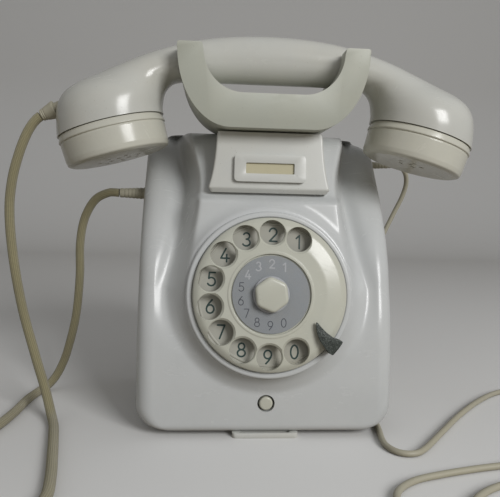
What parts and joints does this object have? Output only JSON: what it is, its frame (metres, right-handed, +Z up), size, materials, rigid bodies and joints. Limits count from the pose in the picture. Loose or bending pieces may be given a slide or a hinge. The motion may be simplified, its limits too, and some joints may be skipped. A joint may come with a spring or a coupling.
{
  "type": "rotary telephone",
  "caption": "Wall or table telephone with a sprung rotary dial in a raised collar, a two-part handset lying across a lifting cradle fork, a braided handset cord and a line cord.",
  "frame": {"origin": "on the surface that the telephone stands on, in the middle of its box without the free cords", "axes": "+Z up, -Y out of the dial towards the user, +X to the right of someone who faces the dial"},
  "size_m": [0.4097, 0.2077, 0.2161],
  "materials": {
    "housing_white": "glossy moulded plastic",
    "handset_cream": "glossy moulded plastic",
    "wheel_cream": "glossy moulded plastic",
    "fork_beige": "satin moulded plastic",
    "card_grey": "printed card",
    "clear_window": "clear plastic disc",
    "paper": "uncoated paper card",
    "stop_grey": "dark hammered enamel",
    "steel": "zinc-plated",
    "capsule_aluminium": "plain",
    "brass": "satin",
    "coil_winding": "varnished winding",
    "moulded_black": "moulded phenolic",
    "rubber_grey": "moulded",
    "cord_textile": "braided textile",
    "cord_vinyl": "satin sheath"
  },
  "bodies": {
    "telephone_body": {"base_plate": "steel", "bell_coil_left": "coil_winding", "bell_coil_right": "coil_winding", "bell_frame": "steel", "capacitor": "steel", "case_screw_lower_left": "steel", "case_screw_lower_right": "steel", "case_screw_upper_left": "steel", "case_screw_upper_right": "steel", "clapper_pin": "steel", "dial_bridge": "steel", "dial_case": "steel", "earth_contact": "steel", "finger_stop": "stop_grey", "foot_strip": "handset_cream", "gong_left": "brass", "gong_post_left": "steel", "gong_post_right": "steel", "gong_right": "brass", "handset_cord_back": "cord_textile", "handset_cord_coil": "cord_textile", "handset_cord_entry": "cord_vinyl", "handset_cord_front": "cord_textile", "hook_bracket": "steel", "hook_contacts": "moulded_black", "hook_spring": "steel", "housing": "housing_white", "induction_coil": "coil_winding", "label_card": "paper", "label_frame": "handset_cream", "line_cord": "cord_vinyl", "line_cord_coil": "cord_vinyl", "line_cord_entry": "cord_vinyl", "line_plug": "cord_vinyl", "neck_cover": "handset_cream", "number_plate": "handset_cream", "pulse_contacts": "moulded_black", "rear_foot_left": "rubber_grey", "rear_foot_right": "rubber_grey", "terminal_block": "moulded_black"},
    "dial": {"finger_wheel": "wheel_cream", "card_disc": "card_grey", "card_window": "clear_window", "centre_nut": "wheel_cream", "dial_shaft": "steel", "main_gear": "brass"},
    "governor": {"governor_pinion": "brass", "governor_rotor": "brass", "governor_spindle": "steel"},
    "handset": {"handset_grip": "handset_cream", "mouth_cap": "handset_cream", "ear_cap": "handset_cream", "microphone_capsule": "capsule_aluminium", "receiver_capsule": "capsule_aluminium", "handset_sleeve": "cord_vinyl"},
    "fork": {"cradle_fork": "fork_beige", "fork_stem": "steel"},
    "button": {"earth_button": "wheel_cream"},
    "clapper_arm": {"clapper": "steel"}
  },
  "joints": [
    {"name": "dial_turn", "type": "hinge", "parent": "telephone_body", "child": "dial", "pos_m": [0, -0.05, 0.079], "axis": [0, -0.9877, 0.1564], "range_deg": [-323, 0], "stiffness_Nm_per_rad": 0.0035, "springref_deg": 28.65},
    {"name": "governor_spin", "type": "hinge", "parent": "telephone_body", "child": "governor", "pos_m": [0.0241, -0.05, 0.079], "axis": [0, -0.9877, 0.1564], "range_deg": [0, 1292]},
    {"name": "handset_lift", "type": "slide", "parent": "telephone_body", "child": "handset", "axis": [0, 0, 1], "range_m": [0, 0.06]},
    {"name": "fork_rise", "type": "slide", "parent": "telephone_body", "child": "fork", "axis": [0, 0, 1], "range_m": [0, 0.005], "stiffness_N_per_m": 60, "springref_m": 0.01, "deforming": ["hook_spring"]},
    {"name": "button_press", "type": "slide", "parent": "telephone_body", "child": "button", "axis": [0, 1, 0], "range_m": [0, 0.0025], "stiffness_N_per_m": 300, "springref_m": -0.001},
    {"name": "clapper_swing", "type": "hinge", "parent": "telephone_body", "child": "clapper_arm", "pos_m": [0, 0.036, 0.0725], "axis": [0, 1, 0], "range_deg": [-4.5, 4.5]}
  ],
  "couplings": [
    {"joint": "governor_spin", "follows": "dial_turn", "ratio": -4},
    {"joint": "fork_rise", "follows": "handset_lift", "ratio": 0.083333}
  ]
}
